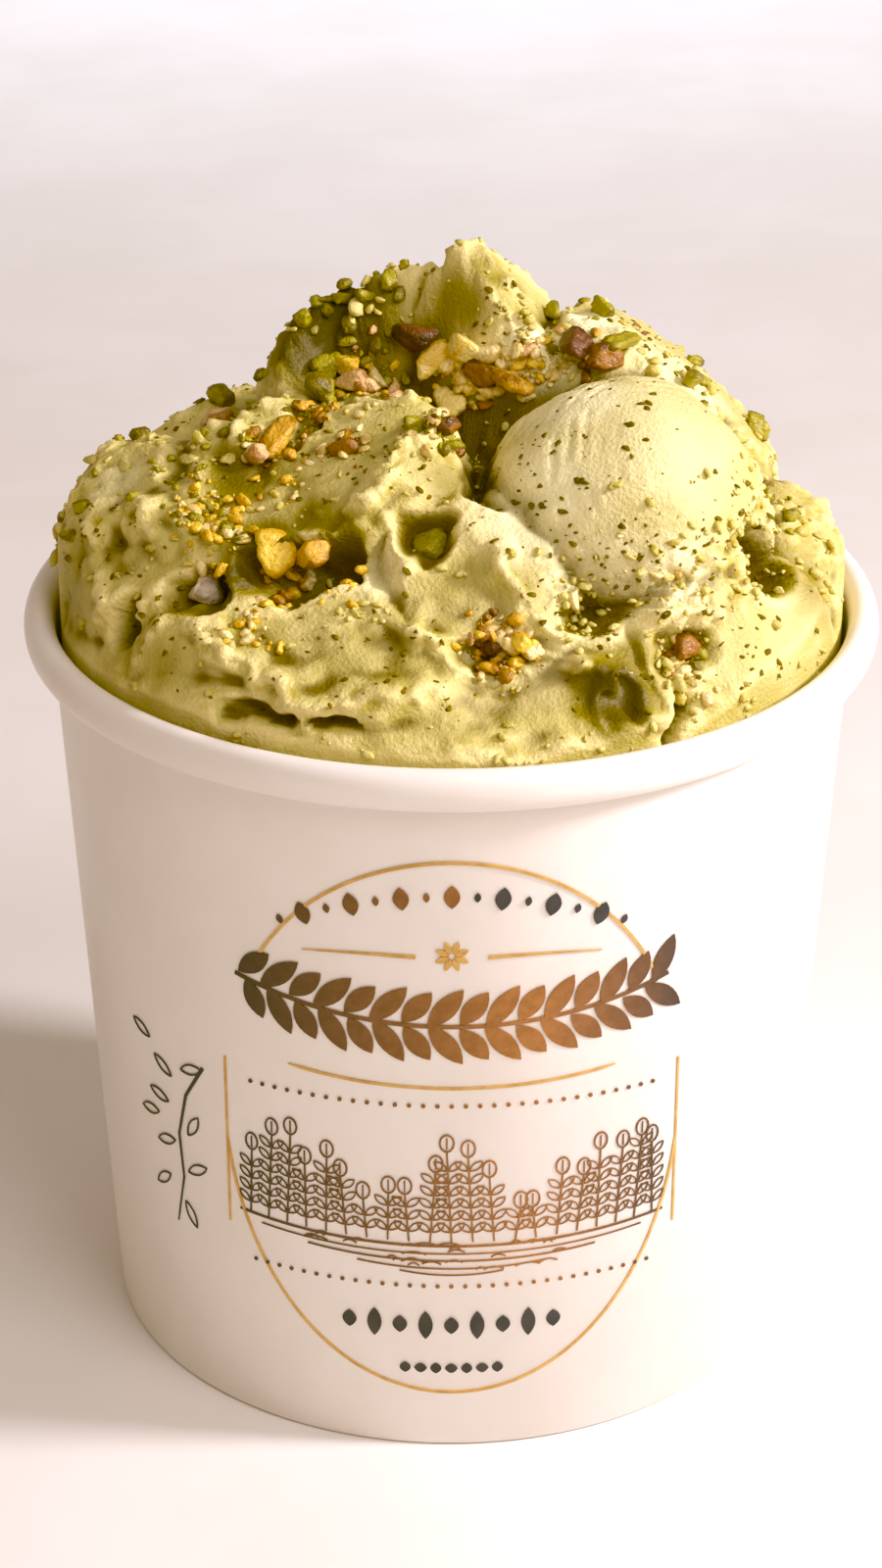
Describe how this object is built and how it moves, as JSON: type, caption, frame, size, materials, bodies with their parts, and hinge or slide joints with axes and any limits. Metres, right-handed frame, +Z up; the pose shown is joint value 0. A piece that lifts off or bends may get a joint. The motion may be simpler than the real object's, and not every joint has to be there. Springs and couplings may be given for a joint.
{
  "type": "tub of ice cream",
  "caption": "Tapered white paper take-away tub with a rolled rim, heaped with scooped and spread pistachio ice cream that is topped with chopped nuts",
  "frame": {"origin": "centre of the tub's foot, on the surface that it stands on", "axes": "+Z up, -Y towards the viewer of the tub's printed front, +X to the viewer's right"},
  "size_m": [0.1, 0.1, 0.1312],
  "materials": {
    "white_board": "smooth coated paperboard, satin, with a printed oval badge",
    "base_board": "smooth coated paperboard",
    "pistachio_gelato": "soft matt ice cream with a faint sheen, chopped nuts fused on"
  },
  "bodies": {
    "root": {"tub_wall": "white_board", "tub_base": "base_board", "gelato": "pistachio_gelato"}
  },
  "joints": []
}
